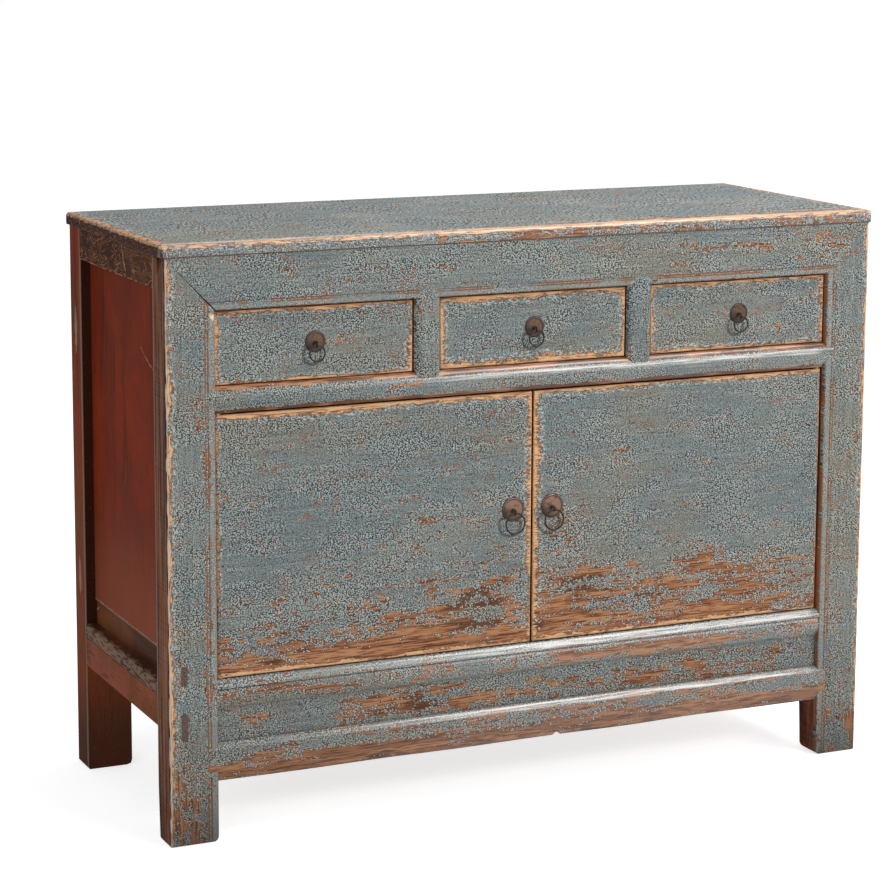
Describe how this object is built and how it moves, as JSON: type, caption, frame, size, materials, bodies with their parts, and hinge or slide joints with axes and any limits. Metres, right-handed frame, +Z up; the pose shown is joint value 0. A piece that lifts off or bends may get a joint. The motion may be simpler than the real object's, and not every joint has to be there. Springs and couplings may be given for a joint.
{
  "type": "sideboard",
  "caption": "Low painted wooden sideboard with small drawers above a wide cupboard with pivoting doors, moulded framed front, square post feet and small ring pulls.",
  "frame": {"origin": "middle of the footprint on the floor under the whole object, pulls included", "axes": "+X to the right as seen from the front, +Y from the front to the back, +Z up"},
  "size_m": [1.135, 0.443, 0.85],
  "materials": {
    "painted_wood": "crackled blue-grey paint, worn to orange-brown wood at the edges",
    "lacquered_wood": "red-brown lacquer, worn at the edges",
    "bare_wood": "unfinished sawn and planed softwood",
    "plug_wood": "dark end grain, worn",
    "pull_plate": "aged copper-brown, dull",
    "pull_brass": "aged brass wire, worn bright on the outside"
  },
  "bodies": {
    "carcass": {"apron_rail": "painted_wood", "back_boards_lower": "bare_wood", "back_bottom_rail": "bare_wood", "back_mid_rail": "bare_wood", "back_panel_upper": "bare_wood", "back_post_left": "lacquered_wood", "back_post_right": "lacquered_wood", "back_top_rail": "bare_wood", "base_panel": "painted_wood", "bottom_rail": "painted_wood", "door_stop_strip": "bare_wood", "drawer_divider_left": "painted_wood", "drawer_divider_right": "painted_wood", "drawer_runners": "bare_wood", "floor_boards": "bare_wood", "frieze_rail": "painted_wood", "front_post_left": "painted_wood", "front_post_right": "painted_wood", "mid_rail": "painted_wood", "mortise_plugs": "plug_wood", "side_bottom_rail_left": "lacquered_wood", "side_bottom_rail_right": "lacquered_wood", "side_ledges": "lacquered_wood", "side_lower_boards": "lacquered_wood", "side_panel_left": "lacquered_wood", "side_panel_right": "lacquered_wood", "side_top_rail_left": "lacquered_wood", "side_top_rail_right": "lacquered_wood", "top_board_left": "painted_wood", "top_board_middle": "painted_wood", "top_board_right": "painted_wood", "top_cleats": "bare_wood"},
    "drawer_left": {"drawer_left_backplate": "pull_plate", "drawer_left_box": "bare_wood", "drawer_left_eye": "pull_brass", "drawer_left_floor": "bare_wood", "drawer_left_front": "painted_wood"},
    "drawer_left_ring": {"drawer_left_ring": "pull_brass"},
    "drawer_middle": {"drawer_middle_backplate": "pull_plate", "drawer_middle_box": "bare_wood", "drawer_middle_eye": "pull_brass", "drawer_middle_floor": "bare_wood", "drawer_middle_front": "painted_wood"},
    "drawer_middle_ring": {"drawer_middle_ring": "pull_brass"},
    "drawer_right": {"drawer_right_backplate": "pull_plate", "drawer_right_box": "bare_wood", "drawer_right_eye": "pull_brass", "drawer_right_floor": "bare_wood", "drawer_right_front": "painted_wood"},
    "drawer_right_ring": {"drawer_right_ring": "pull_brass"},
    "door_left": {"door_left_backplate": "pull_plate", "door_left_battens": "bare_wood", "door_left_eye": "pull_brass", "door_left_slab": "painted_wood"},
    "door_left_ring": {"door_left_ring": "pull_brass"},
    "door_right": {"door_right_backplate": "pull_plate", "door_right_battens": "bare_wood", "door_right_eye": "pull_brass", "door_right_slab": "painted_wood"},
    "door_right_ring": {"door_right_ring": "pull_brass"}
  },
  "joints": [
    {"name": "drawer_left_slide", "type": "slide", "parent": "carcass", "child": "drawer_left", "axis": [0, -1, 0], "range_m": [0, 0.3]},
    {"name": "drawer_middle_slide", "type": "slide", "parent": "carcass", "child": "drawer_middle", "axis": [0, -1, 0], "range_m": [0, 0.3]},
    {"name": "drawer_right_slide", "type": "slide", "parent": "carcass", "child": "drawer_right", "axis": [0, -1, 0], "range_m": [0, 0.3]},
    {"name": "door_left_pivot", "type": "hinge", "parent": "carcass", "child": "door_left", "pos_m": [-0.4828, -0.20247, 0.422], "axis": [0, 0, -1], "range_deg": [0, 92]},
    {"name": "door_right_pivot", "type": "hinge", "parent": "carcass", "child": "door_right", "pos_m": [0.4828, -0.20247, 0.422], "axis": [0, 0, 1], "range_deg": [0, 92]},
    {"name": "drawer_left_ring_swing", "type": "hinge", "parent": "drawer_left", "child": "drawer_left_ring", "pos_m": [-0.34066, -0.21798, 0.7], "axis": [-1, 0, 0], "range_deg": [-10, 185]},
    {"name": "drawer_middle_ring_swing", "type": "hinge", "parent": "drawer_middle", "child": "drawer_middle_ring", "pos_m": [0, -0.21798, 0.7], "axis": [-1, 0, 0], "range_deg": [-10, 185]},
    {"name": "drawer_right_ring_swing", "type": "hinge", "parent": "drawer_right", "child": "drawer_right_ring", "pos_m": [0.34066, -0.21798, 0.7], "axis": [-1, 0, 0], "range_deg": [-10, 185]},
    {"name": "door_left_ring_swing", "type": "hinge", "parent": "door_left", "child": "door_left_ring", "pos_m": [-0.0316, -0.21798, 0.433], "axis": [-1, 0, 0], "range_deg": [-10, 185]},
    {"name": "door_right_ring_swing", "type": "hinge", "parent": "door_right", "child": "door_right_ring", "pos_m": [0.0316, -0.21798, 0.433], "axis": [-1, 0, 0], "range_deg": [-10, 185]}
  ]
}
